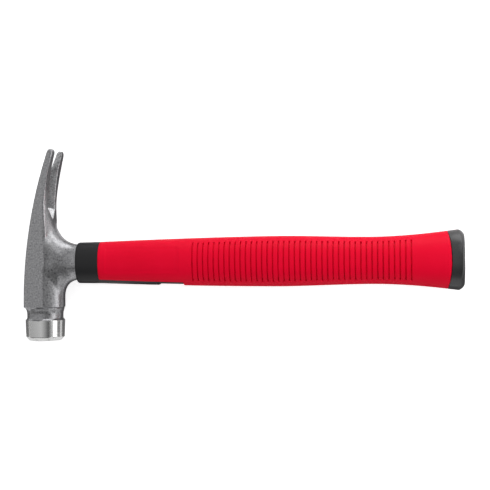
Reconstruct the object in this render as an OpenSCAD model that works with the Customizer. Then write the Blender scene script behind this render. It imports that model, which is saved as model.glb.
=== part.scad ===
// Electrician hammer lying on its side: forged steel head with a long split claw, glass-fibre bar
// bonded into the eye with resin, hard plastic jacket, soft grooved grip, front collar and butt cap.
// +X runs along the handle to the butt, +Y points to the claw tips, +Z is up through the thickness.
// The origin is below the middle of the outline, on the surface that the hammer lies on.

/* [Overall] */
// Length from the outermost place of the head to the butt
overall_length = 320.7; // [266:0.1:384]
// Height of the head from the striking face to the claw tips
head_height = 141.3; // [118:0.1:171]

/* [Striking end] */
// Diameter of the machined ring at its upper edge
ring_d = 29; // [24:0.5:35]
// Taper of the ring radius down to the face chamfer
ring_taper = 0.4; // [0:0.1:1]
// Height of the ring
ring_h = 12.7; // [9:0.1:14.4]
// Height of the chamfer below the ring
face_chamfer = 2.6; // [1.5:0.1:3.2]
// Width of the chamfer around the flat striking face
face_bevel = 2.1; // [1:0.1:3.5]
// Distance from the handle axis to the striking face
face_depth = 57.3; // [54:0.1:70]
// Depth of the waist above the ring, below the ring's surface
waist_depth = 1.3; // [0.5:0.1:2.5]
// Height of the waist
waist_h = 9.8; // [7:0.1:12]

/* [Claw and cheeks] */
// Width of the claw and cheeks, across the flat sides
claw_w = 29; // [24:0.5:35]
// Distance from the head axis to the edges of the outer face, at the poll
outer_edge = 11.4; // [9:0.2:13]
// Radius of the long curve of the outer face
outer_radius = 335; // [300:1:400]
// Depth below the handle axis where that curve starts
outer_start = 30; // [20:1:32]
// Crown of the outer face across its width
outer_crown = 2.2; // [0.5:0.1:3]
// Radius of the long edges of the outer face
edge_radius = 1.5; // [0.8:0.1:3]
// Distance from the head axis to the inner edges of the claw, where they come nearest to it
inner_edge = 4.7; // [2.5:0.1:6]
// Height of that place above the handle axis
inner_height = 38; // [34:0.5:42]
// Thickness of the claw at its tips
tip_thickness = 4; // [1.5:0.1:5]
// Radius of the inner edges from there to the cheeks
cheek_radius = 42; // [30:1:60]
// Distance from the head axis to the inner edges of the cheeks
cheek_edge = 5.4; // [5:0.1:8]
// Bulge of the inner side over its edges, at the slot root
inner_bulge = 2; // [1:0.1:4]
// Bulge of the inner side over its edges, at the tips
tip_bulge = 0.6; // [0.2:0.1:1.5]
// Length of the rounding of the claw tips
tip_round = 2.4; // [1:0.1:4]
// Distance from the head axis to the round back of the poll
poll_reach = 15; // [13:0.1:17]
// Half width of the oval that the round back follows
poll_half_w = 14.6; // [12:0.1:17]
// Depth below the handle axis where the round back starts to turn into the claw
poll_top = 16; // [14:0.5:24]
// Height over which it turns
poll_turn = 40; // [40:0.5:52]

/* [Nail slot] */
// Width of the slot at the claw tips
slot_w = 14.5; // [9:0.5:16]
// Height of the slot root above the handle axis
slot_root = 32.3; // [30:0.1:40]
// Width of the slot on the outer face, just above its root
slot_throat = 8; // [1.2:0.1:9]
// Width of the scooped mouth of the slot on the inner side
slot_mouth = 15.2; // [8:0.2:18]
// Height over which the round root of the mouth opens to that width
slot_mouth_rise = 9; // [4:0.5:14]

/* [Neck] */
// Length of the neck inside the collar
neck_seat = 3; // [2:0.1:5]
// Height of the neck where it enters the collar
neck_h = 25.8; // [23:0.2:31]
// Length of the plain neck between its fillets and the collar
neck_plain = 1.1; // [0.6:0.1:2]
// Radius of the fillet from the neck to the claw
upper_fillet = 15.5; // [12:0.5:18]
// Radius of the fillet from the neck to the poll
lower_fillet = 10; // [8:0.5:11]
// Distance over which the sides of the neck flare out to the cheeks
side_flare = 17; // [14:0.5:20]
// How far the flared neck stays below the cheeks
cheek_step = 0.8; // [0.4:0.1:2]

/* [Core bar and eye] */
// Height of the glass-fibre bar
bar_h = 16; // [13:0.2:19.2]
// Gap between the end of the bar and the spigot of the cap
bar_gap = 12.7; // [4:0.1:30]
// Gap between the bar and the eye at the neck, filled with resin
eye_gap = 1.3; // [0.8:0.1:1.6]
// Growth of the eye radius from the neck to the outer face
eye_taper = 1.4; // [0.8:0.1:2]
// Depth of the resin surface below the outer face
resin_recess = 1.4; // [0.4:0.1:3]
// Thickness of the rubber washer between neck and jacket
dam_t = 2; // [1:0.2:4]

/* [Handle outline] */
// Thickness of the oval handle section for each millimetre of its height
section_flatness = 0.67; // [0.6:0.01:0.8]
// Distance from the head axis to the front of the collar
collar_front = 26.2; // [24:0.2:32]
// Length of the collar
collar_length = 17.1; // [12.5:0.1:20]
// Wall of the collar around the neck
collar_wall = 1.95; // [1.6:0.05:3]
// Growth of the handle height along the collar
collar_rise = 0.6; // [0:0.1:3]
// Radius of the front edge of the collar
collar_round = 1.5; // [0.5:0.1:1.8]
// Height of the handle at the belly
belly_h = 36.3; // [34:0.1:44]
// Distance from the belly to the butt
belly_to_butt = 130.7; // [110:0.1:150]
// Height of the handle at the waist of the grip
grip_waist_h = 33.6; // [31:0.1:36]
// Distance from that waist to the butt
grip_waist_to_butt = 63.7; // [50:0.1:70]
// Height of the handle at the butt
butt_h = 43; // [36:0.1:51]
// Power of the swell from the collar to the belly
swell_power = 1.6; // [1.2:0.1:2]
// Power of the flare from the waist to the butt
flare_power = 1.8; // [1.4:0.1:2.4]
// Wall of the grip and collar around the jacket
grip_wall = 3.2; // [2.6:0.1:3.9]

/* [Underside] */
// Width of the tongue of the collar
tongue_w = 13; // [8:0.5:16]
// Distance from the head axis to the end of the tongue
tongue_end = 88.4; // [72:0.2:98]
// Length of the window behind the tongue
window_length = 18; // [8:0.2:20]
// Depth of the window
window_depth = 0.9; // [0.5:0.1:1.5]

/* [Grooves] */
// Distance from the end of the window to the first groove
groove_lead = 7.4; // [4:0.2:20]
// Distance from the last groove to the butt, at least
groove_to_butt = 35; // [30:0.5:50]
// Distance from groove to groove
groove_pitch = 3.89; // [3:0.01:5]
// Width of a groove
groove_w = 1.1; // [0.6:0.1:1.6]
// Depth of a groove on the broad side
groove_depth = 0.9; // [0.5:0.1:1.2]
// Share of the handle height that a groove spans
groove_span = 0.8; // [0.6:0.02:0.86]

/* [Butt cap] */
// Length of the cap at its top and bottom
cap_length = 11.8; // [7:0.1:13]
// How much shorter the cap is on the broad sides
cap_sweep = 2.8; // [1:0.1:3.6]
// Length of the rounded end of the cap
cap_round = 3.2; // [1.5:0.1:4]
// Height that the rounded end takes off
cap_drop = 3; // [1:0.1:5]
// Height of the spigot that seats in the jacket
spigot_h = 20; // [14:0.5:24]
// Length of the spigot
spigot_length = 14; // [8:0.5:20]

/* [Hidden] */
$fn = 96;
// A length longer than any piece, for cuts that go right through
through = 2 * overall_length;
// How far one solid reaches into the next one of the same piece
bite = 0.5;
// Angle between the points of a rounded edge
round_step = 15;
head_reach = max(ring_d / 2, outer_edge + outer_crown);
butt = overall_length - head_reach;
claw_tip = head_height - face_depth;
half_w = claw_w / 2;
rest_depth = max(half_w, ring_d / 2, section_flatness * butt_h / 2);

// Clamp t to the span from 0 to 1
function unit(t) = min(1, max(0, t));
// Smooth change from a to b as t goes from 0 to 1
function ease(a, b, t) = a + (b - a) * unit(t) * unit(t) * (3 - 2 * unit(t));

// Move a piece from the crossing of head axis and handle axis to its place on the table
module laid_down() {
    translate([head_reach - overall_length / 2, face_depth - head_height / 2, rest_depth])
        children();
}

// Skin a row of closed sections that all have the same number of points
module skinned(sections) {
    count = len(sections[0]);
    last = len(sections) - 1;
    sides = [for (s = [0 : last - 1], i = [0 : count - 1], half = [0, 1])
        let (a = s * count + i, b = s * count + (i + 1) % count)
            half == 0 ? [a, b, b + count] : [a, b + count, a + count]];
    caps = [for (i = [1 : count - 2], s = [0, last])
        s == 0 ? [0, i + 1, i] : [0, i, i + 1] + s * count * [1, 1, 1]];
    polyhedron([for (section = sections) each section], concat(sides, caps));
}

// Claw, cheeks and poll: one bar along the head axis, whose section changes with the height y
bar_steps = 23;
poll_low = face_depth - face_chamfer - ring_h - waist_h;
tip_start = claw_tip - tip_round;
function outer_x(y) = -outer_edge + pow(max(0, y + outer_start), 2) / (2 * outer_radius);
tip_reach = outer_x(claw_tip) + tip_thickness - inner_edge;
function above_narrow(y) = tip_reach * pow((y - inner_height) / (claw_tip - inner_height), 2);
function below_narrow(y) = min(cheek_edge - inner_edge, pow(y - inner_height, 2) / (2 * cheek_radius));
function edge_x(y) = inner_edge + (y > inner_height ? above_narrow(y) : below_narrow(y));
function bulge(y) = ease(inner_bulge, tip_bulge, (y - slot_root) / (claw_tip - slot_root));
function poll_x(z) = poll_reach * sqrt(max(0, 1 - pow(z / poll_half_w, 2)));
function claw_x(y, z) = edge_x(y) + bulge(y) * (1 - pow(z / half_w, 2));
function inner_x(y, z) = ease(poll_x(z), claw_x(y, z), (y + poll_top) / poll_turn);
function crown_x(y, t) = outer_x(y) - outer_crown * (1 - t * t);
// Shares of the half width where the outer and the inner side have their points
crown_shares = [0, 0.35, 0.7];
inner_shares = [1, 0.95, 0.8, 0.6, 0.3, 0];
function bar_half(y) = concat(
    [for (t = crown_shares) [crown_x(y, t), t * half_w]],
    [for (a = [0, 45, 90]) [outer_x(y) + edge_radius * (1 - cos(a)), half_w - edge_radius * (1 - sin(a))]],
    [for (t = inner_shares) [inner_x(y, t * half_w), t * half_w]]);
function mirrored(half) = concat(half, [for (i = [len(half) - 2 : -1 : 1]) [half[i][0], -half[i][1]]]);
function bar_section(y) = [for (p = mirrored(bar_half(y))) [p[0], y, -p[1]]];
// Rounded claw tips: the section at the start of the rounding, drawn in to its leaning middle
tip_angles = [30, 55, 75];
function middle_x(y) = (outer_x(y) + edge_x(y)) / 2;
function tip_section(a) = let (
    rise = tip_round * sin(a) / sin(max(tip_angles)),
    middle = middle_x(tip_start),
    lean = middle_x(tip_start + rise) - middle)
    [for (p = bar_section(tip_start)) [middle + (p[0] - middle) * cos(a) + lean, tip_start + rise, p[2]]];
// Lower end of the poll, drawn in to run into the waist
poll_draw = (ring_d / 2 - waist_depth) / norm([outer_edge + outer_crown, half_w]);
function poll_end_section() = [for (p = bar_section(-poll_low))
    [p[0] * poll_draw, -poll_low - waist_h / 2, p[2] * poll_draw]];
module claw_bar() {
    skinned(concat(
        [poll_end_section()],
        [for (i = [0 : bar_steps]) bar_section(-poll_low + (tip_start + poll_low) * i / bar_steps)],
        [for (a = tip_angles) tip_section(a)]));
}

// Flared neck: oval sections across the handle axis, from inside the cheeks to the collar
neck_root = 5;
neck_steps = 14;
neck_points = 32;
neck_radius = neck_h / 2;
neck_straight = collar_front - neck_plain;
neck_end = collar_front + neck_seat;
// Slopes that carry the fillets on inside the claw and the poll
upper_rise = 4;
lower_rise = 0.5;
// Power of the flare of the neck sides
side_power = 1.4;
function fillet(x, r, rise) = let (run = max(0, neck_straight - x))
    run < r ? r - sqrt(r * r - run * run) : r + rise * (run - r);
function neck_side(x) = ease(
    section_flatness * neck_radius,
    half_w - cheek_step,
    pow(unit((neck_straight - x) / side_flare), side_power));
function neck_section(x) = let (
    high = neck_radius + fillet(x, upper_fillet, upper_rise),
    low = min(poll_low, neck_radius + fillet(x, lower_fillet, lower_rise)))
    [for (i = [0 : neck_points - 1]) let (a = -360 * i / neck_points)
        [x, cos(a) > 0 ? high * cos(a) : low * cos(a), neck_side(x) * sin(a)]];
module neck() {
    step = (neck_straight - neck_root) / neck_steps;
    skinned([for (i = [0 : neck_steps]) neck_section(neck_root + step * i)]);
    neck_form(neck_straight - bite);
}

// Waist, machined ring and chamfered face, turned about the head axis
ring_top = face_depth - face_chamfer - ring_h;
waist_radius = (pow(waist_h / 2, 2) + pow(waist_depth, 2)) / (2 * waist_depth);
module striking_end() {
    rotate([90, 0, 0])
        rotate_extrude()
            difference() {
                polygon([
                    [0, poll_low - bite],
                    [ring_d / 2, poll_low - bite],
                    [ring_d / 2, ring_top],
                    [ring_d / 2 - ring_taper, face_depth - face_chamfer],
                    [ring_d / 2 - ring_taper - face_bevel, face_depth],
                    [0, face_depth]]);
                translate([ring_d / 2 - waist_depth + waist_radius, ring_top - waist_h / 2])
                    circle(waist_radius);
            }
}

// Nail slot: a long V on the outer face that opens to a scooped mouth on the inner side
mouth_steps = 6;
slot_outer_x = -outer_edge;
slot_inner_x = outer_x(claw_tip) + tip_thickness + 2 * tip_bulge;
mouth_x = inner_edge + inner_bulge;
slot_flare = (slot_inner_x - slot_outer_x) / (mouth_x - slot_outer_x);
mouth_top = slot_root + slot_mouth_rise;
slot_top = claw_tip + tip_round;
function along_claw(y) = unit((y - mouth_top) / (claw_tip - mouth_top));
function scoop(y) = sqrt(1 - pow(1 - unit((y - slot_root) / slot_mouth_rise), 2));
function throat_half(y) = scoop(y) * (slot_throat + (slot_w - slot_throat) * along_claw(y)) / 2;
function mouth_half(y) = scoop(y) * (slot_mouth + (slot_w - slot_mouth) * along_claw(y)) / 2;
function flared_half(y) = throat_half(y) + slot_flare * (mouth_half(y) - throat_half(y));
slot_y = concat(
    [for (i = [1 : mouth_steps]) slot_root + slot_mouth_rise * (1 - cos(90 * i / mouth_steps))],
    [claw_tip, slot_top]);
// Outline of the slot: its root, one side up to the tips, and the other side back
function slot_outline(side) = concat(
    [[side[0][0], slot_root, 0]],
    side,
    [for (i = [len(side) - 1 : -1 : 0]) [side[i][0], side[i][1], -side[i][2]]]);
module nail_slot() {
    outer_side = [for (y = slot_y) [slot_outer_x, y, throat_half(y)]];
    inner_side = [for (y = slot_y) [slot_inner_x, y, flared_half(y)]];
    skinned([slot_outline(outer_side), slot_outline(inner_side)]);
}

// Half height of the handle at a distance x from the head axis
collar_end = collar_front + collar_length;
collar_h = neck_h + 2 * collar_wall;
collar_end_h = collar_h + collar_rise;
belly_x = butt - belly_to_butt;
grip_waist_x = butt - grip_waist_to_butt;
cap_edge = butt - cap_round;
function swell(x) = pow(1 - unit((x - collar_end) / (belly_x - collar_end)), swell_power);
function flare(x) = pow(unit((x - grip_waist_x) / (cap_edge - grip_waist_x)), flare_power);
function handle_height(x) =
    x < collar_end ? ease(collar_h, collar_end_h, (x - collar_front) / collar_length)
    : x < belly_x ? belly_h - (belly_h - collar_end_h) * swell(x)
    : x < grip_waist_x ? ease(belly_h, grip_waist_h, (x - belly_x) / (grip_waist_x - belly_x))
    : grip_waist_h + (butt_h - grip_waist_h) * flare(x);
function half_height(x) = handle_height(x) / 2;

// Places along the handle where its outline has a corner or a step of its curve
jacket_front = neck_end + dam_t;
outline_steps = 8;
function steps(from, to) = [for (i = [1 : outline_steps]) from + (to - from) * i / outline_steps];
outline_x = concat(
    [collar_front, neck_end, jacket_front, collar_end],
    steps(collar_end, belly_x),
    steps(belly_x, grip_waist_x),
    steps(grip_waist_x, cap_edge));

// Turn an outline of radius and place into a round body along the handle axis
module turned(outline) {
    rotate([0, 90, 0])
        rotate_extrude()
            polygon(outline);
}

// Oval body: a round one, cut to its thickness by two wider ones whose axes lie this far above and below
side_offset = 12;
module oval(outline) {
    wide = [for (p = outline) [p[0] == 0 ? 0 : side_offset + section_flatness * p[0], p[1]]];
    intersection() {
        turned(outline);
        translate([0, 0, side_offset])
            turned(wide);
        translate([0, 0, -side_offset])
            turned(wide);
    }
}

// Oval bar of one height between two places
module oval_bar(radius, front, end) {
    oval([[0, front], [radius, front], [radius, end], [0, end]]);
}

// Oval body that follows the handle at a depth below its surface, between two places
function form_outline(depth, front, end) = concat(
    [[0, front], [half_height(front) - depth, front]],
    [for (x = outline_x) if (x > front && x < end) [half_height(x) - depth, x]],
    [[half_height(end) - depth, end], [0, end]]);
module handle_form(depth, front, end) {
    oval(form_outline(depth, front, end));
}

// Underside strip that the tongue and the window share, between two places
module underside(front, end) {
    translate([front, -through, -tongue_w / 2])
        cube([end - front, through, tongue_w]);
}

// Space behind the curved joint of grip and cap
cap_front = butt - cap_length;
butt_side = section_flatness * butt_h / 2;
sweep_radius = (pow(butt_side, 2) + pow(cap_sweep, 2)) / (2 * cap_sweep);
module cap_space() {
    translate([cap_front + sweep_radius, through / 2, 0])
        rotate([90, 0, 0])
            cylinder(r = sweep_radius, h = through);
}

// Bar, eye and jacket, which fit inside each other
bar_end = butt - cap_length - spigot_length - bar_gap;
resin_surface = -crown_x(0, 0) - resin_recess;
window_end = tongue_end + window_length;
eye_radius = bar_h / 2 + eye_gap;
eye_slope = eye_taper / (neck_end + resin_surface);
module neck_form(front) {
    oval_bar(neck_radius, front, neck_end);
}
module bar_form() {
    oval_bar(bar_h / 2, -resin_surface, bar_end);
}
module eye_form(surface) {
    surface_radius = eye_radius + eye_slope * (neck_end + surface);
    oval([[0, -surface], [surface_radius, -surface], [eye_radius, neck_end], [0, neck_end]]);
}
module jacket_form(front) {
    handle_form(grip_wall, front, cap_edge);
}
module spigot_form() {
    oval_bar(spigot_h / 2, cap_front - spigot_length, cap_front + cap_length / 2);
}

module head() {
    color("gray")
        laid_down()
            difference() {
                union() {
                    claw_bar();
                    neck();
                    striking_end();
                }
                nail_slot();
                eye_form(2 * outer_edge);
            }
}

module core_rod() {
    color("wheat")
        laid_down()
            bar_form();
}

module eye_resin() {
    color("darkslategray")
        laid_down()
            difference() {
                eye_form(resin_surface);
                bar_form();
            }
}

module resin_dam() {
    color("black")
        laid_down()
            difference() {
                handle_form(grip_wall, neck_end, jacket_front);
                bar_form();
            }
}

module jacket() {
    color("dimgray")
        laid_down()
            difference() {
                union() {
                    jacket_form(jacket_front);
                    intersection() {
                        handle_form(window_depth, collar_front, cap_edge);
                        underside(tongue_end, window_end);
                    }
                }
                bar_form();
                spigot_form();
                cap_space();
            }
}

module front_collar() {
    front_radius = half_height(collar_front);
    rounding = [for (a = [0 : round_step : 90])
        [front_radius - collar_round * (1 - sin(a)), collar_front + collar_round * (1 - cos(a))]];
    color("dimgray")
        laid_down()
            difference() {
                union() {
                    oval(concat(
                        [[0, collar_front]],
                        rounding,
                        [[half_height(collar_end), collar_end], [0, collar_end]]));
                    intersection() {
                        handle_form(0, collar_end - bite, tongue_end);
                        underside(collar_end - bite, tongue_end);
                    }
                }
                neck_form(0);
                jacket_form(neck_end);
            }
}

// Row of groove cutters on both broad sides, which stop short of the top and bottom
groove_start = window_end + groove_lead;
groove_count = 1 + floor((butt - groove_to_butt - groove_start) / groove_pitch);
module grooves() {
    difference() {
        for (i = [0 : groove_count - 1]) {
            x = groove_start + i * groove_pitch;
            translate([x, 0, 0])
                cube([groove_w, groove_span * handle_height(x), butt_h], center = true);
        }
        handle_form(groove_depth / section_flatness, collar_end, cap_edge);
    }
}

module grip() {
    color("crimson")
        laid_down()
            difference() {
                handle_form(0, collar_end, cap_edge);
                jacket_form(neck_end);
                underside(collar_end - bite, window_end);
                grooves();
                cap_space();
            }
}

module butt_cap() {
    rounding = [for (a = [0 : round_step : 90])
        [butt_h / 2 - cap_drop * (1 - cos(a)), cap_edge + cap_round * sin(a)]];
    start = cap_front - cap_sweep;
    color("dimgray")
        laid_down() {
            intersection() {
                oval(concat(
                    [[0, start], [half_height(start), start]],
                    [for (x = outline_x) if (x > start && x < cap_edge) [half_height(x), x]],
                    rounding,
                    [[0, butt]]));
                cap_space();
            }
            spigot_form();
        }
}

head();
core_rod();
eye_resin();
resin_dam();
jacket();
front_collar();
grip();
butt_cap();
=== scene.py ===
# Electrician's hammer lying on its side, put together from the bar outwards and then lit.
# Sizes are in millimetres from the crossing of head axis and handle axis, as the maker measures them:
# x runs along the handle to the butt, y up the head to the claw tips and z through the thickness.
import itertools
import math

import bpy
import numpy as np
from mathutils import Matrix, Vector


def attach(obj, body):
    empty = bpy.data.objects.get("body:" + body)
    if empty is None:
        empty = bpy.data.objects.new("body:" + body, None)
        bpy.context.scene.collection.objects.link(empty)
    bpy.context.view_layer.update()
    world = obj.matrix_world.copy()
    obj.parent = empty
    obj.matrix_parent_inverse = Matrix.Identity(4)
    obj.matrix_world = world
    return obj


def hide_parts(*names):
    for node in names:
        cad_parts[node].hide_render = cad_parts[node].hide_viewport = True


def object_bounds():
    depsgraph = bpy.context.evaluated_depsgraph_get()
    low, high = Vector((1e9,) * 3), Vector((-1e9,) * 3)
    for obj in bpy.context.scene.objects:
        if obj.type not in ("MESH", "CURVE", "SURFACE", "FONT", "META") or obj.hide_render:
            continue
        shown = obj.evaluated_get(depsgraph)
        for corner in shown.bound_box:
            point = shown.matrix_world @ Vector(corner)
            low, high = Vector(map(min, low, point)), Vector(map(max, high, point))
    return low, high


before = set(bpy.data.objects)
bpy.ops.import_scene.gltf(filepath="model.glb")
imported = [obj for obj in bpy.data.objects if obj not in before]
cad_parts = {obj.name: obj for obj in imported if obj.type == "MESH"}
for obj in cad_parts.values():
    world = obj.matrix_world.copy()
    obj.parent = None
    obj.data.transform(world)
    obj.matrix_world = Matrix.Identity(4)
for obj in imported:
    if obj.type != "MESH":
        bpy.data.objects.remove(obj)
cad_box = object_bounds()


# Core bar: a pultruded rod of glass fibre in polyester that runs from the eye almost to the butt.
# Only its sawn end shows, inside the eye, with the bundles of fibre as pale specks and streaks.
METRE = 1000.0
SAME_ALL_WAYS = (1.0, 1.0, 1.0)
ALONG_THE_BAR = (0.05, 1.0, 1.0)


def feed(material, given, socket):
    """Set a socket to a plain number or colour, or wire another node's output to it."""
    if isinstance(given, bpy.types.NodeSocket):
        material.node_tree.links.new(given, socket)
    elif isinstance(given, tuple):
        socket.default_value = (*given, 1.0)
    else:
        socket.default_value = given


def finish(name, **sockets):
    """New material with one shader, and the sockets that are the same all over the surface."""
    material = bpy.data.materials.new(name)
    material.use_nodes = True
    shader = material.node_tree.nodes["Principled BSDF"]
    for socket, value in sockets.items():
        feed(material, value, shader.inputs[socket.replace("_", " ")])
    return material, shader


def part(material, kind, **settings):
    """One more node in a material."""
    made = material.node_tree.nodes.new("ShaderNode" + kind)
    for setting, value in settings.items():
        setattr(made, setting, value)
    return made


def grain(material, speck, detail=3.0, stretch=SAME_ALL_WAYS):
    """Noise whose specks are about that many millimetres wide, longer where stretch is under 1."""
    place = part(material, "TexCoord")
    mapping = part(material, "Mapping")
    mapping.inputs["Scale"].default_value = stretch
    noise = part(material, "TexNoise")
    feed(material, METRE / speck, noise.inputs["Scale"])
    feed(material, detail, noise.inputs["Detail"])
    feed(material, place.outputs["Object"], mapping.inputs["Vector"])
    feed(material, mapping.outputs["Vector"], noise.inputs["Vector"])
    return noise.outputs["Fac"]


def between(material, amount, low, high, start=0.3, end=0.7):
    """Numbers from low to high as the amount goes from start to end."""
    spread = part(material, "MapRange")
    feed(material, amount, spread.inputs["Value"])
    limits = {"From Min": start, "From Max": end, "To Min": low, "To Max": high}
    for limit, number in limits.items():
        feed(material, number, spread.inputs[limit])
    return spread.outputs["Result"]


def blend(material, amount, first, second, kind="RGBA"):
    """Colour between two others, or number between two others where kind is FLOAT."""
    mix = part(material, "Mix", data_type=kind)
    first_socket, second_socket, result = {"FLOAT": (2, 3, 0), "RGBA": (6, 7, 2)}[kind]
    feed(material, amount, mix.inputs[0])
    feed(material, first, mix.inputs[first_socket])
    feed(material, second, mix.inputs[second_socket])
    return mix.outputs[result]


def raise_surface(material, shader, *layers):
    """Relief from one or more grains, each with its height in millimetres."""
    below = None
    for amount, height in layers:
        bump = part(material, "Bump")
        feed(material, 1.0, bump.inputs["Strength"])
        feed(material, height / METRE, bump.inputs["Distance"])
        feed(material, amount, bump.inputs["Height"])
        if below:
            feed(material, below, bump.inputs["Normal"])
        below = bump.outputs["Normal"]
    feed(material, below, shader.inputs["Normal"])


def speckled(name, speck, dark, light, roughness, relief, detail=3.0, stretch=SAME_ALL_WAYS, **sockets):
    """Material whose tone, roughness and relief all follow the same specks."""
    material, shader = finish(name, **sockets)
    specks = grain(material, speck, detail, stretch)
    feed(material, blend(material, specks, dark, light), shader.inputs["Base Color"])
    feed(material, between(material, specks, *roughness), shader.inputs["Roughness"])
    raise_surface(material, shader, (specks, relief))
    return material


def dress(node, material):
    """Put a material on a piece that keeps its CAD solid."""
    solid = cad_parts[node]
    solid.data.materials.clear()
    solid.data.materials.append(material)


glass_fibre = speckled("glass_fibre", speck=0.7, dark=(0.52, 0.45, 0.26), light=(0.86, 0.81, 0.62),
                       roughness=(0.45, 0.62), relief=0.05, stretch=ALONG_THE_BAR, IOR=1.52)
dress("core_rod", glass_fibre)


# Head: claw, cheeks, neck and poll in one drop forging of tool steel, shot-blasted and lacquered.
# The eye for the bar is forged through it, the nail slot is scooped from the inner side of the claw,
# and the striking end is turned bright on the lathe.
CLAW_HALF = 14.5
CLAW_TIP = 84.0
TIP_LEAN = (0.24, 0.97)
TIP_MIDDLE = 10.0
TIP_ROUND = 4.2
OUTER_EDGE = -11.45
OUTER_CURVE_START = -30.0
OUTER_CURVE = 670.0
CROWN = 2.2
INNER_SWEEP_START = 42.0
FLANK_LEAN = (0.469, 0.883)
POLL_BACK = 15.0
POLL_CURVE = 0.0455
POLL_LOW = -32.2
POLL_DRAW = 0.28
WAIST_LOW = -37.4


def ramp(value, start, end):
    """Share from 0 to 1 that grows evenly as the value goes from start to end."""
    return np.clip((value - start) / (end - start), 0.0, 1.0)


def ease(low, high, value, start=0.0, end=1.0):
    """Smooth change from low to high as the value goes from start to end."""
    share = ramp(value, start, end)
    return low + (high - low) * share * share * (3.0 - 2.0 * share)


def slant(lean, a, b):
    """Distance past a slanted plane, whose lean is its direction along a and b."""
    return lean[0] * a + lean[1] * b


def joined(a, b, fillet):
    """Union of two fields with a fillet between them."""
    near = np.clip(fillet - np.abs(a - b), 0.0, None) / fillet
    return np.minimum(a, b) - fillet * near * near / 4.0


def shared(a, b, edge):
    """Overlap of two fields with a rounded edge between them."""
    return -joined(-a, -b, edge)


def outer_face(y, z):
    """Long curve of the outer face, crowned across its width and flatter towards the tips."""
    crown = ease(CROWN, 0.0, y, 52.0, CLAW_TIP)
    curve = OUTER_EDGE + np.maximum(0.0, y - OUTER_CURVE_START) ** 2 / OUTER_CURVE
    return curve - crown * (1.0 - (z / CLAW_HALF) ** 2)


def inner_edge(y):
    """Inner edge of the flat sides: almost straight beside the neck, swept outwards along the claw."""
    sweep = np.clip(y - INNER_SWEEP_START, 0.0, None) ** 1.7 / 78.0
    return ease(5.2, 4.7, y, 20.0, INNER_SWEEP_START) + sweep


def inner_face(y, z):
    """Hollow curve of the claw, which turns into the round back of the poll below the neck."""
    bulge = ease(1.8, 0.3, y, 32.0, 77.0)
    claw = inner_edge(y) + bulge * (1.0 - (z / CLAW_HALF) ** 2)
    poll = POLL_BACK - POLL_CURVE * z ** 2
    return ease(poll, claw, y, -15.0, 6.0)


def steepness(face, y, z, small=0.05):
    """Length of the slope of a face, which turns a difference in x into a distance."""
    rise_y = (face(y + small, z) - face(y - small, z)) / (2.0 * small)
    rise_z = (face(y, z + small) - face(y, z - small)) / (2.0 * small)
    return np.sqrt(1.0 + rise_y ** 2 + rise_z ** 2)


def claw_and_poll(x, y, z):
    """Curved bar from the claw tips to the waist, with flat sides and a flank that leans to the neck."""
    drawn = 1.0 - POLL_DRAW * ramp(y, POLL_LOW, POLL_LOW - 3.0)
    x, z = x / drawn, z / drawn
    capped = np.minimum(z, CLAW_HALF)
    outer = (outer_face(y, capped) - x) / steepness(outer_face, y, capped)
    inner = (x - inner_face(y, capped)) / steepness(inner_face, y, capped)
    tip = slant(TIP_LEAN, x - TIP_MIDDLE, y - CLAW_TIP - 0.4)
    outer, inner = shared(outer, tip, TIP_ROUND), shared(inner, tip, TIP_ROUND)
    flank = slant(FLANK_LEAN, x - ease(3.0, 9.0, y, 18.0, 44.0), z - CLAW_HALF)
    inner = shared(inner, flank, ease(2.5, 0.8, y, 8.0, 26.0))
    ridge = ease(0.8, 2.6, y, 8.0, 30.0) - ease(0.0, 2.1, y, INNER_SWEEP_START, 62.0)
    bar = shared(inner, z - CLAW_HALF, ridge)
    bar = shared(bar, shared(outer, z - CLAW_HALF, 0.8), 0.6)
    return np.maximum(bar, WAIST_LOW - 1.0 - y)


NECK_END = 29.2
SEAT_START = 26.6
SEAT_HALF = 12.9
NECK_START = 25.1
NECK_UP = 12.62
NECK_DOWN = 12.45
NECK_DRAFT = 0.06
NECK_BROAD = 8.65
ROOT_BROAD = 12.3
ROOT_LENGTH = 17.0
SHOULDER = 15.4
SHOULDER_RISE = 4.95
SHOULDER_REACH = 6.6
SQUARE_ABOVE = 2.4
SQUARE_BELOW = 2.05


def neck(x, y, z):
    """Oval neck that swells into the cheeks, squarer and steeper above the handle axis than below."""
    up = NECK_UP + SHOULDER_RISE * np.exp(np.minimum(SHOULDER - x, 13.0) / SHOULDER_REACH)
    down = NECK_DOWN + NECK_DRAFT * np.clip(NECK_START - x, 0.0, None)
    tall = np.where(x > SEAT_START, SEAT_HALF, np.where(y > 0.0, up, down))
    broad = ease(NECK_BROAD, ROOT_BROAD, ramp(x, NECK_START, NECK_START - ROOT_LENGTH) ** 1.4)
    squareness = np.where(y > 0.0, SQUARE_ABOVE, SQUARE_BELOW)
    along, across = np.abs(y) / tall, z / broad
    share = (along ** squareness + across ** squareness + 1e-9) ** (1.0 / squareness)
    power = squareness - 1.0
    pull = np.hypot((along / share) ** power / tall, (across / share) ** power / broad)
    return np.maximum((share - 1.0) / (pull + 1e-3), 5.0 - x)


WAIST_RADIUS = 13.25
RING_TOP = -42.0
RING_RADIUS = 14.5
RING_TAPER = 0.033
RING_LOW = -54.7
CHAMFER_RADIUS = 14.1
CHAMFER_LEAN = (0.778, 0.628)
TURNED_EDGE = 0.35
FACE = -57.3


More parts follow.
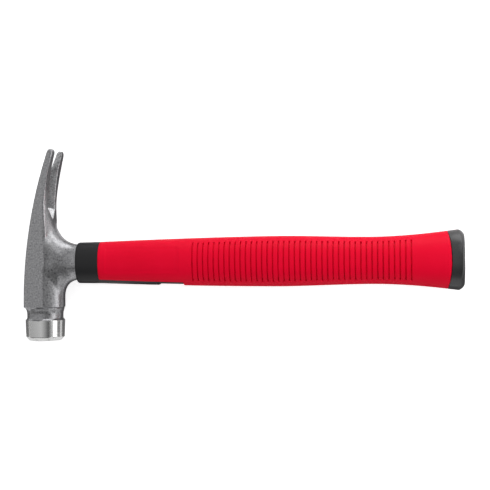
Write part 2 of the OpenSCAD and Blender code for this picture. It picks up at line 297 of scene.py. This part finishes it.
def striking_end(x, y, z):
    """Turned end below the poll: waist, ring, chamfer and flat face."""
    out = np.hypot(x, z)
    waist = out - WAIST_RADIUS - 0.9 * ramp(y, -38.0, -34.0) ** 2
    waist = waist - 1.2 * ramp(y, RING_TOP + 1.6, RING_TOP) ** 2
    side = out - RING_RADIUS + RING_TAPER * (RING_TOP - y)
    chamfer = slant(CHAMFER_LEAN, out - CHAMFER_RADIUS, RING_LOW - y)
    ring = shared(np.where(y > RING_TOP, waist, side), chamfer, TURNED_EDGE)
    return np.maximum(shared(ring, FACE - y, TURNED_EDGE), y - POLL_LOW + 1.0)


SLOT_ROOT = 32.5
SCOOP_LEAN = (0.53, 1.0)
THROAT_HALF = 5.0
MOUTH_HALF = 7.6


def slot_half(x, y):
    """Half width of the nail slot: a cone scooped from the inner side, then almost parallel walls."""
    outer, inner = outer_face(y, CLAW_HALF), inner_edge(y) + 1.0
    scoop = slant(SCOOP_LEAN, x - inner, y - SLOT_ROOT)
    throat = THROAT_HALF + 2.4 * ramp(y, 42.0, 78.0) ** 2
    walls = throat + (MOUTH_HALF - throat) * ramp(x, outer, inner)
    return joined(scoop, walls, 0.4)


EYE_HALF = 9.3
EYE_TAPER = 0.035
EYE_FLATNESS = 0.67
EYE_FLAT = 12.0
EYE_CORNER = 0.85


def eye(x, y, z):
    """Tapered oval eye, the same as the resin that fills it but for its rounded corners."""
    radius = EYE_HALF + EYE_TAPER * (NECK_END - x)
    flat_side = np.hypot(y, np.abs(z) + EYE_FLAT) - EYE_FLAT - EYE_FLATNESS * radius
    return shared(np.hypot(y, z) - radius, flat_side, EYE_CORNER)


def forged_head(x, y, z):
    """Field of the head: below zero in the steel, about the distance to its skin near it."""
    z = np.abs(z)
    below = ease(1.0, 0.0, y, -12.0, 6.0) * ease(1.0, 0.4, z, 4.0, 12.0) * ease(0.0, 11.0, x, 3.0, 13.0)
    beside = ease(0.0, 3.5, y, -18.0, 0.0) * ease(1.0, 0.0, y, 12.0, 22.0) * ease(0.0, 1.0, z, 6.0, 10.0)
    steel = joined(claw_and_poll(x, y, z), neck(x, y, z), 1.5 + below + beside)
    steel = joined(steel, striking_end(x, y, z), 1.0)
    steel = shared(steel, 0.85 * (slot_half(x, y) - z), 0.8)
    steel = shared(steel, -eye(x, y, z), 0.6)
    return np.maximum(np.maximum(steel, y - CLAW_TIP), np.maximum(z - CLAW_HALF, x - NECK_END))


def slope(field, points, small=0.03):
    """Gradient of a field at each point, by a small step each way."""
    sides = []
    for step in small * np.eye(3):
        ahead, behind = points + step, points - step
        sides.append((field(*ahead.T) - field(*behind.T)) / (2.0 * small))
    return np.stack(sides, axis=1)


def skin(field, lines):
    """Points and four-sided faces of the skin of a field on a grid, with each point set on the skin."""
    value = field(*np.meshgrid(*lines, indexing="ij", sparse=True))
    corners = list(itertools.product((0, 1), repeat=3))
    cut = [slice(0, -1), slice(1, None)]
    blocks = np.stack([value[cut[i], cut[j], cut[k]] for i, j, k in corners])
    crossed = (blocks.min(axis=0) < 0.0) & (blocks.max(axis=0) >= 0.0)
    cells = np.argwhere(crossed)
    ends = blocks[:, crossed]
    total, count = np.zeros((len(cells), 3)), np.zeros((len(cells), 1))
    for a, b in itertools.combinations(range(8), 2):
        start, span = np.array(corners[a]), np.array(corners[b]) - np.array(corners[a])
        if np.abs(span).sum() != 1:
            continue
        hit = (ends[a] < 0.0) != (ends[b] < 0.0)
        share = ends[a][hit] / (ends[a][hit] - ends[b][hit])
        total[hit] += start + share[:, None] * span
        count[hit] += 1
    places = cells + total / count
    points = [np.interp(places[:, i], np.arange(len(lines[i])), lines[i]) for i in range(3)]
    points = np.stack(points, axis=1)
    for _ in range(3):
        grow = slope(field, points)
        move = field(*points.T)[:, None] * grow / (grow ** 2).sum(axis=1, keepdims=True)
        points = points - np.clip(move, -0.15, 0.15)
    number = np.full(crossed.shape, -1)
    number[crossed] = np.arange(len(cells))
    faces = []
    for axis in range(3):
        order = [axis, (axis + 1) % 3, (axis + 2) % 3]
        turned_value = np.moveaxis(value, order, [0, 1, 2])
        turned_number = np.moveaxis(number, order, [0, 1, 2])
        start, end = turned_value[:-1, 1:-1, 1:-1] < 0.0, turned_value[1:, 1:-1, 1:-1] < 0.0
        i, j, k = np.nonzero(start != end)
        quad = np.stack([turned_number[i, j, k], turned_number[i, j + 1, k],
                         turned_number[i, j + 1, k + 1], turned_number[i, j, k + 1]], axis=1)
        outward = start[i, j, k]
        faces.append(np.where(outward[:, None], quad, quad[:, ::-1]))
    return points, np.concatenate(faces)


low_corner = np.round(METRE * np.array(cad_box[0]), 2)
crossing_of_axes = low_corner + (RING_RADIUS, -FACE, CLAW_HALF)


def lay_down(points):
    """From the hammer's own millimetres to metres on the table."""
    return (np.asarray(points) + crossing_of_axes) / METRE


def piece(name, points, faces, material):
    """Smooth-shaded mesh object from points in the hammer's millimetres."""
    mesh = bpy.data.meshes.new(name)
    mesh.from_pydata(lay_down(points).tolist(), [], [[int(i) for i in face] for face in faces])
    mesh.shade_smooth()
    mesh.set_sharp_from_angle(angle=math.radians(40.0))
    mesh.materials.append(material)
    made = bpy.data.objects.new(name, mesh)
    bpy.context.scene.collection.objects.link(made)
    return made


def reckon(material, operation, *numbers):
    """Arithmetic on numbers, each given plainly or by a node."""
    made = part(material, "Math", operation=operation)
    for number, socket in zip(numbers, made.inputs):
        feed(material, number, socket)
    return made.outputs["Value"]


RAGGED_EDGE = 2.2
BLURRED_EDGE = 0.15
ROUND_THE_RING = (0.04, 1.0, 0.04)

forged_steel, shader = finish("forged_steel", Metallic=1.0)
pits = grain(forged_steel, 1.2, detail=4.0)
scale_marks = grain(forged_steel, 3.0, detail=5.0)
turning = grain(forged_steel, 0.5, detail=2.0, stretch=ROUND_THE_RING)
place = part(forged_steel, "TexCoord")
apart = part(forged_steel, "SeparateXYZ")
feed(forged_steel, place.outputs["Object"], apart.inputs["Vector"])
blotches = grain(forged_steel, 3.0)
ragged = reckon(forged_steel, "MULTIPLY_ADD", blotches, RAGGED_EDGE / METRE, apart.outputs["Y"])
ring_edge = RING_TOP + crossing_of_axes[1] + RAGGED_EDGE / 2.0
turned = between(forged_steel, ragged, 1.0, 0.0,
                 (ring_edge - BLURRED_EDGE) / METRE, (ring_edge + BLURRED_EDGE) / METRE)
pitted = between(forged_steel, pits, 0.0, 1.0)
skin_tone = blend(forged_steel, pitted, (0.20, 0.20, 0.21), (0.52, 0.52, 0.53))
marked = between(forged_steel, scale_marks, 0.0, 0.5)
aged_tone = blend(forged_steel, marked, skin_tone, (0.36, 0.36, 0.37))
scratched = between(forged_steel, pits, 0.0, 1.0, 0.35, 0.65)
ground_tone = blend(forged_steel, scratched, (0.32, 0.32, 0.33), (0.66, 0.66, 0.67))
ground = part(forged_steel, "Attribute", attribute_name="ground")
worked_tone = blend(forged_steel, ground.outputs["Fac"], aged_tone, ground_tone)
bright_tone = blend(forged_steel, turning, (0.62, 0.62, 0.62), (0.78, 0.78, 0.77))
feed(forged_steel, blend(forged_steel, turned, worked_tone, bright_tone), shader.inputs["Base Color"])
dull = between(forged_steel, pits, 0.27, 0.38)
bright = between(forged_steel, turning, 0.12, 0.24)
feed(forged_steel, blend(forged_steel, turned, dull, bright, "FLOAT"), shader.inputs["Roughness"])
blasted = blend(forged_steel, turned, pits, 0.5, "FLOAT")
raise_surface(forged_steel, shader, (blasted, 0.09), (turning, 0.004))

# The grid is closer at the face and at the top of the ring, and wider on the ring's plain side.
CELL = 0.4
across_the_head = np.arange(-15.8, 31.0, CELL)
up_the_head = np.concatenate([np.arange(-58.6, -53.7, 0.2), np.arange(-53.6, -43.1, 0.5),
                              np.arange(-43.1, -41.1, 0.25), np.arange(-41.1, 85.4, CELL)])
through_the_head = np.arange(-15.4, 15.5, CELL)
points, faces = skin(forged_head, (across_the_head, up_the_head, through_the_head))
head = piece("head_forging", points, faces, forged_steel)
normals = slope(forged_head, points)
head.data.normals_split_custom_set_from_vertices(
    (normals / np.linalg.norm(normals, axis=1, keepdims=True)).tolist())
wall_gap = np.abs(slot_half(points[:, 0], points[:, 1]) - np.abs(points[:, 2]))
ground_share = head.data.attributes.new("ground", "FLOAT", "POINT")
ground_share.data.foreach_set("value", ease(1.0, 0.0, wall_gap, 0.3, 0.7))
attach(head, "root")
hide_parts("head")


# Eye resin: two-part epoxy poured around the bar, which fills the taper and wedges the head on.
# It is black and sets with a slightly wavy, half-gloss surface.
resin = speckled("eye_resin", speck=2.5, dark=(0.012, 0.012, 0.013), light=(0.035, 0.034, 0.033),
                 roughness=(0.24, 0.40), relief=0.12, IOR=1.55)
dress("eye_resin", resin)


# Resin dam: a washer of black rubber on the bar, pressed against the end of the neck.
# It keeps the wet resin in the eye and pads the jacket against the steel.
rubber = speckled("dam_rubber", speck=0.4, dark=(0.010, 0.010, 0.010), light=(0.030, 0.030, 0.030),
                  roughness=(0.70, 0.85), relief=0.03, IOR=1.5)
dress("resin_dam", rubber)


# Jacket: hard black polypropylene moulded straight over the bar, which gives the handle its shape.
# It shows in the short window between the tongue of the collar and the red sleeve.
jacket_plastic = speckled("jacket_plastic", speck=0.35, dark=(0.010, 0.010, 0.011),
                          light=(0.022, 0.022, 0.023), roughness=(0.42, 0.55), relief=0.02, detail=2.0,
                          IOR=1.49)
dress("jacket", jacket_plastic)


# Front collar: black polypropylene in one moulding with a long tongue on the underside.
# It covers the joint of neck and jacket, and the tongue takes the blows that miss.
COLLAR_FRONT = 25.9
COLLAR_ROUND = 1.7
COLLAR_END = 43.3
NECK_SEAT = 0.857
TONGUE_HALF = 6.5
TONGUE_END = 88.4
TONGUE_ROUND = 1.5
BELLY = 175.5
HANDLE_WAIST = 242.5
FLARE_END = 302.3
FRONT_HEIGHT = 30.2
COLLAR_HEIGHT = 30.6
BELLY_HEIGHT = 36.3
WAIST_HEIGHT = 33.6
FLARE_HEIGHT = 42.9
SLEEVE_WALL = 2.9
FLATNESS = 0.67
ROUNDNESS = 2.2
FULL_TURN = 2.0 * math.pi
TONGUE_LINES = np.linspace(-1.0, 1.0, 13)


def handle_half(x):
    """Half the height of the handle: swelling to the belly, drawn in at the waist, flared at the butt."""
    collared = ease(FRONT_HEIGHT, COLLAR_HEIGHT, x, COLLAR_FRONT, COLLAR_END)
    swell = BELLY_HEIGHT - (BELLY_HEIGHT - COLLAR_HEIGHT) * ramp(x, BELLY, COLLAR_END) ** 1.6
    draw = ease(BELLY_HEIGHT, WAIST_HEIGHT, x, BELLY, HANDLE_WAIST)
    flare = WAIST_HEIGHT + (FLARE_HEIGHT - WAIST_HEIGHT) * ramp(x, HANDLE_WAIST, FLARE_END) ** 1.8
    front = np.where(x < COLLAR_END, collared, swell)
    rear = np.where(x > HANDLE_WAIST, flare, draw)
    return np.where(x > BELLY, rear, front) / 2.0


def bent(value, power):
    """Power of a number that keeps its sign."""
    return np.sign(value) * np.abs(value) ** power


def oval(x, turn, depth, wall=0.0):
    """Points around the handle's oval section, or around the core inside a wall, at a depth below it."""
    half = handle_half(x) - wall
    y = -half * bent(np.cos(turn), 2.0 / ROUNDNESS)
    z = FLATNESS * half * bent(np.sin(turn), 2.0 / ROUNDNESS)
    out_y = -bent(np.cos(turn), 2.0 - 2.0 / ROUNDNESS) / half
    out_z = bent(np.sin(turn), 2.0 - 2.0 / ROUNDNESS) / (FLATNESS * half)
    length = np.hypot(out_y, out_z)
    return np.stack([x + 0.0 * y, y - depth * out_y / length, z - depth * out_z / length], axis=-1)


def strip_turn(x):
    """Turn from the lowest line of the section to the edge of the tongue."""
    return np.arcsin((TONGUE_HALF / (FLATNESS * handle_half(x))) ** (ROUNDNESS / 2.0))


def turns_around(low_turn, shares):
    """Turns for each station: across the strip of the tongue, then round the rest of the section."""
    low_turn = low_turn[:, None]
    rest = low_turn + (FULL_TURN - 2.0 * low_turn) * shares
    return np.concatenate([low_turn * TONGUE_LINES, rest], axis=1)


def rounded_off(past, radius):
    """How far an edge has dropped, that far past the start of its rounding."""
    past = np.clip(past, 0.0, radius)
    return radius - np.sqrt(radius ** 2 - past ** 2)


def shell(outside, inside, kept):
    """Closed shell: kept faces of an outer and an inner grid, with walls where a face has no neighbour."""
    rows, columns = outside.shape[:2]
    number = np.arange(rows * columns).reshape(rows, columns)
    inner = rows * columns
    faces = []
    for i, j in np.argwhere(kept):
        right = (j + 1) % columns
        a, b, c, d = number[i, j], number[i + 1, j], number[i + 1, right], number[i, right]
        faces += [(a, b, c, d), (d + inner, c + inner, b + inner, a + inner)]
        if i == 0 or not kept[i - 1, j]:
            faces.append((d, d + inner, a + inner, a))
        if i == rows - 2 or not kept[i + 1, j]:
            faces.append((b, b + inner, c + inner, c))
        if not kept[i, j - 1]:
            faces.append((a, a + inner, b + inner, b))
        if not kept[i, right]:
            faces.append((c, c + inner, d + inner, d))
    used = sorted({index for face in faces for index in face})
    place = {old: new for new, old in enumerate(used)}
    points = np.concatenate([outside.reshape(-1, 3), inside.reshape(-1, 3)])[used]
    return points, [[place[index] for index in face] for face in faces]


collar_plastic = speckled("collar_plastic", speck=0.30, dark=(0.005, 0.005, 0.006),
                          light=(0.013, 0.013, 0.014), roughness=(0.36, 0.48), relief=0.03, detail=2.0,
                          IOR=1.49, Specular_IOR_Level=0.38)

rounding = COLLAR_ROUND * (1.0 - np.cos(np.radians(np.arange(0, 91, 15))))
tongue_tip = TONGUE_END - np.array([0.7, 0.2, 0.0])
stations = np.concatenate([COLLAR_FRONT + rounding, np.linspace(29.0, COLLAR_END, 9),
                           np.linspace(45.5, TONGUE_END - TONGUE_ROUND, 24), tongue_tip])
front_drop = rounded_off(COLLAR_FRONT + COLLAR_ROUND - stations, COLLAR_ROUND)
end_drop = rounded_off(stations - TONGUE_END + TONGUE_ROUND, TONGUE_ROUND)
turns = turns_around(strip_turn(np.maximum(stations, COLLAR_END)), np.linspace(0.0, 1.0, 73)[1:-1])
outside = oval(stations[:, None], turns, (front_drop + end_drop)[:, None])
inside = oval(stations[:, None], turns, 0.0, SLEEVE_WALL)
seat = stations < NECK_END
inside[seat, :, 1:] = NECK_SEAT * oval(stations[seat][:, None], turns[seat], 0.0)[..., 1:]
kept = np.ones((len(stations) - 1, turns.shape[1]), bool)
kept[stations[1:] > COLLAR_END + 0.01, len(TONGUE_LINES) - 1:] = False
collar = piece("front_collar_moulding", *shell(outside, inside, kept), collar_plastic)
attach(collar, "root")
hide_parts("front_collar")


# Grip: red thermoplastic rubber moulded over the jacket, soft and slightly matt.
# Forty-one cross grooves on each broad side hold the fingers, and a sunk panel lies behind the collar.
WINDOW_END = 106.4
GROOVE_FIRST = 114.0
GROOVE_PITCH = 3.89
GROOVES = 41
GROOVE_DEPTH = 1.5
GROOVE_HALF = 0.34
GROOVE_WALL = 0.14
GROOVE_REACH = 0.80
DOT_START = 0.70
PANEL_FRONT = 48.7
PANEL_END = 103.6
PANEL_HALF = 9.5
PANEL_MIDDLE = 1.7
PANEL_EDGE = 0.9
PANEL_DEPTH = 0.16
LIP = 0.4
LIP_DROP = 0.25
GRIP_END = 294.4
CAP_SWEEP = 2.8
CAP_HALF = 20.4


def swept(start, sweep, z):
    """Place of a curved line round the butt: further back on the broad sides than at top and bottom."""
    return start + sweep * (z / (FLATNESS * CAP_HALF)) ** 2


grip_red, shader = finish("grip_red", IOR=1.46, Specular_IOR_Level=0.1)
touch = grain(grip_red, 0.30, detail=2.0)
cloud = grain(grip_red, 18.0)
red_tone = blend(grip_red, cloud, (0.76, 0.0, 0.022), (0.84, 0.001, 0.030))
feed(grip_red, red_tone, shader.inputs["Base Color"])
feed(grip_red, between(grip_red, touch, 0.40, 0.52), shader.inputs["Roughness"])
raise_surface(grip_red, shader, (touch, 0.015))

# Stations along the sleeve are closest at the walls of grooves, panel and window.
centres = GROOVE_FIRST + GROOVE_PITCH * np.arange(GROOVES)
far_wall = GROOVE_HALF + np.array([0.0, 0.08, 0.18, 0.32])
across_groove = np.concatenate([-far_wall[::-1], far_wall, [GROOVE_PITCH / 2.0]])
grooved = (centres[:, None] + across_groove).ravel()
panel_step = np.linspace(0.0, PANEL_EDGE, 4)
plain = np.concatenate([COLLAR_END + np.array([0.0, 0.15, LIP]), np.linspace(44.5, 48.2, 4),
                        PANEL_FRONT + panel_step, np.linspace(51.0, 101.5, 35), PANEL_END - panel_step,
                        WINDOW_END + np.array([-0.4, -0.15, 0.0, 0.4, 1.0]),
                        np.linspace(109.0, 112.5, 3), np.linspace(271.5, 291.5, 16)])
stations = np.sort(np.concatenate([plain, grooved]))

# Lines around the section are closest at the ends of the grooves.
end_turn = math.acos(GROOVE_REACH ** (ROUNDNESS / 2.0))
lips = end_turn + np.array([-0.04, -0.015, 0.015, 0.04])
side_turns = np.linspace(end_turn + 0.07, math.pi - end_turn - 0.07, 45)
near_side = np.concatenate([lips, side_turns, math.pi - lips[::-1]])
over_top = np.linspace(math.pi - lips[0], math.pi + lips[0], 13)[1:-1]
around = np.concatenate([near_side, over_top, FULL_TURN - near_side[::-1]])
first = float(strip_turn(np.array(WINDOW_END)))
share = (around - first) / (FULL_TURN - 2.0 * first)
filler = np.linspace(0.0, share[0], 5)[1:-1]
share = np.concatenate([filler, share, 1.0 - filler[::-1]])
turns = turns_around(strip_turn(np.minimum(stations, WINDOW_END)), share)

surface = oval(stations[:, None], turns, 0.0)
past_groove = (stations[:, None] - GROOVE_FIRST + GROOVE_PITCH / 2.0) % GROOVE_PITCH
from_centre = np.abs(past_groove - GROOVE_PITCH / 2.0)
in_row = (stations > GROOVE_FIRST - 1.0) & (stations < centres[-1] + 1.0)
along = np.abs(surface[..., 1]) / handle_half(stations)[:, None]
dot = ramp(along, DOT_START, GROOVE_REACH) ** 4
cut = ease(GROOVE_DEPTH, 0.0, from_centre - GROOVE_WALL * dot, GROOVE_HALF, GROOVE_HALF + GROOVE_WALL)
cut = cut * in_row[:, None] * (1.0 + 0.3 * dot)
cut = cut * ease(1.0, 0.0, along, GROOVE_REACH - 0.012, GROOVE_REACH + 0.012)
panel = ramp(np.minimum(stations - PANEL_FRONT, PANEL_END - stations), 0.0, PANEL_EDGE)[:, None]
panel = panel * ramp(PANEL_HALF - np.abs(surface[..., 1] - PANEL_MIDDLE), 0.0, PANEL_EDGE)
lip = ramp(stations, COLLAR_END + LIP, COLLAR_END)[:, None] ** 2
outside = oval(stations[:, None], turns, cut + ease(0.0, PANEL_DEPTH, panel) + LIP_DROP * lip)
inside = oval(stations[:, None], turns, 0.0, SLEEVE_WALL)
tail = np.array([0.55, 0.9, 0.985, 1.0])[:, None]
tail_drop = np.array([0.0, 0.0, 0.06, LIP_DROP])[:, None]
tail_x = stations[-1] + tail * (swept(GRIP_END, CAP_SWEEP, surface[-1, :, 2]) - stations[-1])
outside = np.concatenate([outside, oval(tail_x, turns[-1][None, :], tail_drop)])
inside = np.concatenate([inside, oval(tail_x, turns[-1][None, :], 0.0, SLEEVE_WALL)])
kept = np.ones((len(outside) - 1, turns.shape[1]), bool)
kept[:len(stations) - 1][stations[1:] < WINDOW_END + 0.01, :len(TONGUE_LINES) - 1] = False
grip = piece("grip_sleeve", *shell(outside, inside, kept), grip_red)
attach(grip, "root")
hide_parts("grip")


# Butt cap: black polypropylene, half gloss, pressed into the end of the jacket by its spigot.
# Its rim is bevelled all round, wider at top and bottom than on the broad sides.
RIM = 302.0
BEVEL = 302.2
BEVEL_SWEEP = 1.9
BEVEL_WRITTEN = 3.4
BUTT = 306.2

cap_plastic = speckled("cap_plastic", speck=0.5, dark=(0.005, 0.005, 0.006), light=(0.012, 0.012, 0.013),
                       roughness=(0.26, 0.38), relief=0.01, IOR=1.49, Specular_IOR_Level=0.9)

# Each row has its share of the way along the side or the bevel, and its drop below the handle's section.
# The bevel's drops are written for one length of bevel, and scaled to its real length at each turn.
side_rows = ((0.0, 0.25), (0.02, 0.06), (0.08, 0.0), (0.5, 0.0), (0.9, 0.0), (1.0, 0.12))
bevel_rows = ((0.15, 0.22), (0.30, 0.50), (0.45, 0.86), (0.60, 1.30), (0.75, 1.85), (0.88, 2.4),
              (0.96, 2.85), (1.0, 3.3), (1.0, 5.0), (1.0, 9.0))
turns = np.linspace(0.0, FULL_TURN, 121)[:-1]
rim_z = oval(np.full(turns.shape, RIM), turns, 0.0)[:, 2]
front = swept(GRIP_END, CAP_SWEEP, rim_z)
bevel = swept(BEVEL, BEVEL_SWEEP, rim_z)
rows = []
for share, drop in side_rows:
    rows.append(oval(front + share * (bevel - front), turns, drop))
for share, drop in bevel_rows:
    row = oval(np.full(turns.shape, BEVEL), turns, drop * (BUTT - bevel) / BEVEL_WRITTEN)
    row[:, 0] = bevel + share * (BUTT - bevel)
    rows.append(row)
columns = len(turns)
faces = []
for i, j in itertools.product(range(len(rows) - 1), range(columns)):
    right = (j + 1) % columns
    this, following = i * columns, (i + 1) * columns
    faces.append((this + j, following + j, following + right, this + right))
points = np.concatenate(rows)
faces += [[*range(columns)], [*range(len(points) - 1, len(points) - columns - 1, -1)]]
cap = piece("butt_cap_moulding", points, faces, cap_plastic)
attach(cap, "root")
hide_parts("butt_cap")


# Studio, in metres: the hammer lies on a white table among soft boxes, with the camera overhead.
# Painted shade: grey sheets on the table, seen only in reflections, stand in for the shade of the table
# round the hammer and keep the white of it out of the steel. The room is pale from the head's side to
# overhead, dark above the butt, white low beyond it and dim in front.
TABLE_HALF = 9.0
TABLE_LOW = -0.0004
TABLE_SHINE = 0.72
MIRRORED_SHARE = 0.35
CARD_LOW = -0.0002
HEAD_SIDE_GREY = 0.50
BUTT_SIDE_GREY = 1.0


def sheet(name, outlines, level, material):
    """Flat four-sided sheets in one object, from outlines in metres on the table."""
    mesh = bpy.data.meshes.new(name)
    corners = [(x, y, level) for outline in outlines for x, y in outline]
    mesh.from_pydata(corners, [], [range(i, i + 4) for i in range(0, len(corners), 4)])
    mesh.materials.append(material)
    made = bpy.data.objects.new(name, mesh)
    bpy.context.scene.collection.objects.link(made)
    return made


table_white, shader = finish("table_white", Base_Color=(0.86, 0.86, 0.86), Roughness=0.9,
                             Emission_Color=(1.0, 1.0, 1.0))
path = part(table_white, "LightPath").outputs
mirrored = reckon(table_white, "MAXIMUM", path["Is Glossy Ray"], path["Is Transmission Ray"])
fainter = reckon(table_white, "MULTIPLY", mirrored, MIRRORED_SHARE)
seen = reckon(table_white, "MAXIMUM", path["Is Camera Ray"], fainter)
feed(table_white, reckon(table_white, "MULTIPLY", seen, TABLE_SHINE), shader.inputs["Emission Strength"])
table_outline = ((-TABLE_HALF, -TABLE_HALF), (TABLE_HALF, -TABLE_HALF),
                 (TABLE_HALF, TABLE_HALF), (-TABLE_HALF, TABLE_HALF))
floor = sheet("table", [table_outline], TABLE_LOW, table_white)

# Painted shade: grey sheets seen only in reflections, in place of the shaded table round the hammer.
reflected_shade_grey, shader = finish("reflected_shade_grey", Base_Color=(0.26, 0.26, 0.26), Roughness=0.9)
card_outlines = (((-0.150, 0.040), (-0.105, 0.040), (-0.105, 0.076), (-0.150, 0.076)),
                 ((-0.150, 0.017), (-0.128, 0.017), (-0.112, 0.040), (-0.150, 0.040)),
                 ((-0.150, -0.068), (-0.112, -0.076), (-0.112, -0.030), (-0.150, -0.030)),
                 ((-0.450, -0.115), (-0.157, -0.068), (-0.157, -0.030), (-0.450, -0.030)),
                 ((-0.090, -0.078), (0.600, -0.170), (0.600, -0.034), (-0.090, -0.034)))
card = sheet("reflected_shade_sheets", card_outlines, CARD_LOW, reflected_shade_grey)
card.visible_camera = False
card.visible_diffuse = False
card.visible_shadow = False


def soft_box(name, place, aim, size, watts, spreads=True, mirrors=True):
    """Lamp with a diffuser, turned to a point, that may serve only matt light or only reflections."""
    lamp = bpy.data.lights.new(name, "AREA")
    lamp.shape = "RECTANGLE"
    lamp.size, lamp.size_y = size
    lamp.energy = watts
    made = bpy.data.objects.new(name, lamp)
    made.location = place
    made.rotation_mode = "QUATERNION"
    made.rotation_quaternion = (Vector(aim) - Vector(place)).to_track_quat("-Z", "Y")
    made.visible_camera = False
    made.visible_diffuse = spreads
    made.visible_glossy = mirrors
    bpy.context.scene.collection.objects.link(made)


soft_box("back_box", (0.40, 1.0, 0.64), (0.02, 0.0, 0.0), (1.3, 0.9), 9.6, mirrors=False)
soft_box("rim_box", (0.40, 1.0, 0.36), (-0.10, 0.0, 0.02), (1.3, 0.80), 6.6, spreads=False)
soft_box("side_box", (0.45, 0.50, 0.95), (-0.137, 0.005, 0.025), (0.36, 0.30), 0.5, spreads=False)
soft_box("butt_box", (1.45, -0.05, 0.39), (-0.14, -0.05, 0.02), (1.2, 0.62), 2.9)
soft_box("front_box", (-0.10, -1.0, 0.40), (0.0, 0.0, 0.02), (2.0, 0.76), 3.4)
soft_box("grip_box", (0.52, 0.05, 0.45), (0.16, 0.0, 0.02), (0.5, 0.5), 1.2, mirrors=False)
soft_box("corner_box", (0.80, -0.654, 0.67), (-0.134, -0.03, 0.022), (0.5, 0.4), 0.7, spreads=False)

world = bpy.data.worlds.new("studio")
world.use_nodes = True
bpy.context.scene.world = world
direction = part(world, "TexCoord")
apart = part(world, "SeparateXYZ")
feed(world, direction.outputs["Generated"], apart.inputs["Vector"])
walls = part(world, "ValToRGB")
stops = walls.color_ramp.elements
for end, grey in ((0, HEAD_SIDE_GREY), (1, BUTT_SIDE_GREY)):
    stops[end].color = (grey, grey, grey, 1.0)
for place, grey in ((0.13, 0.57), (0.28, 0.62), (0.43, 0.70), (0.53, 0.58), (0.63, 0.43), (0.73, 0.23),
                    (0.81, 0.12)):
    stops.new(place).color = (grey, grey, grey, 1.0)
feed(world, between(world, apart.outputs["X"], 0.0, 1.0, -1.0, 1.0), walls.inputs["Fac"])
dim_in_front = between(world, apart.outputs["Y"], 0.3, 1.0, -0.36, -0.14)
background = world.node_tree.nodes["Background"]
feed(world, (1.0, 1.0, 1.0), background.inputs["Color"])
feed(world, reckon(world, "MULTIPLY", walls.outputs["Color"], dim_in_front), background.inputs["Strength"])
bpy.context.scene.view_settings.view_transform = "Standard"

camera_lens = bpy.data.cameras.new("camera")
camera_lens.sensor_width = 36.0
camera_lens.lens = 76.6
camera = bpy.data.objects.new("camera", camera_lens)
bpy.context.scene.collection.objects.link(camera)
bpy.context.scene.camera = camera
stand = Vector((0.11974, -0.00274, 0.7594))
target = Vector((0.00509, -0.00151, 0.0145))
top_of_picture = Vector((0.010734, 0.99994, 0.0))
back = (stand - target).normalized()
right = top_of_picture.cross(back).normalized()
turn = Matrix((right, back.cross(right), back)).transposed().to_4x4()
camera.matrix_world = Matrix.Translation(stand) @ turn
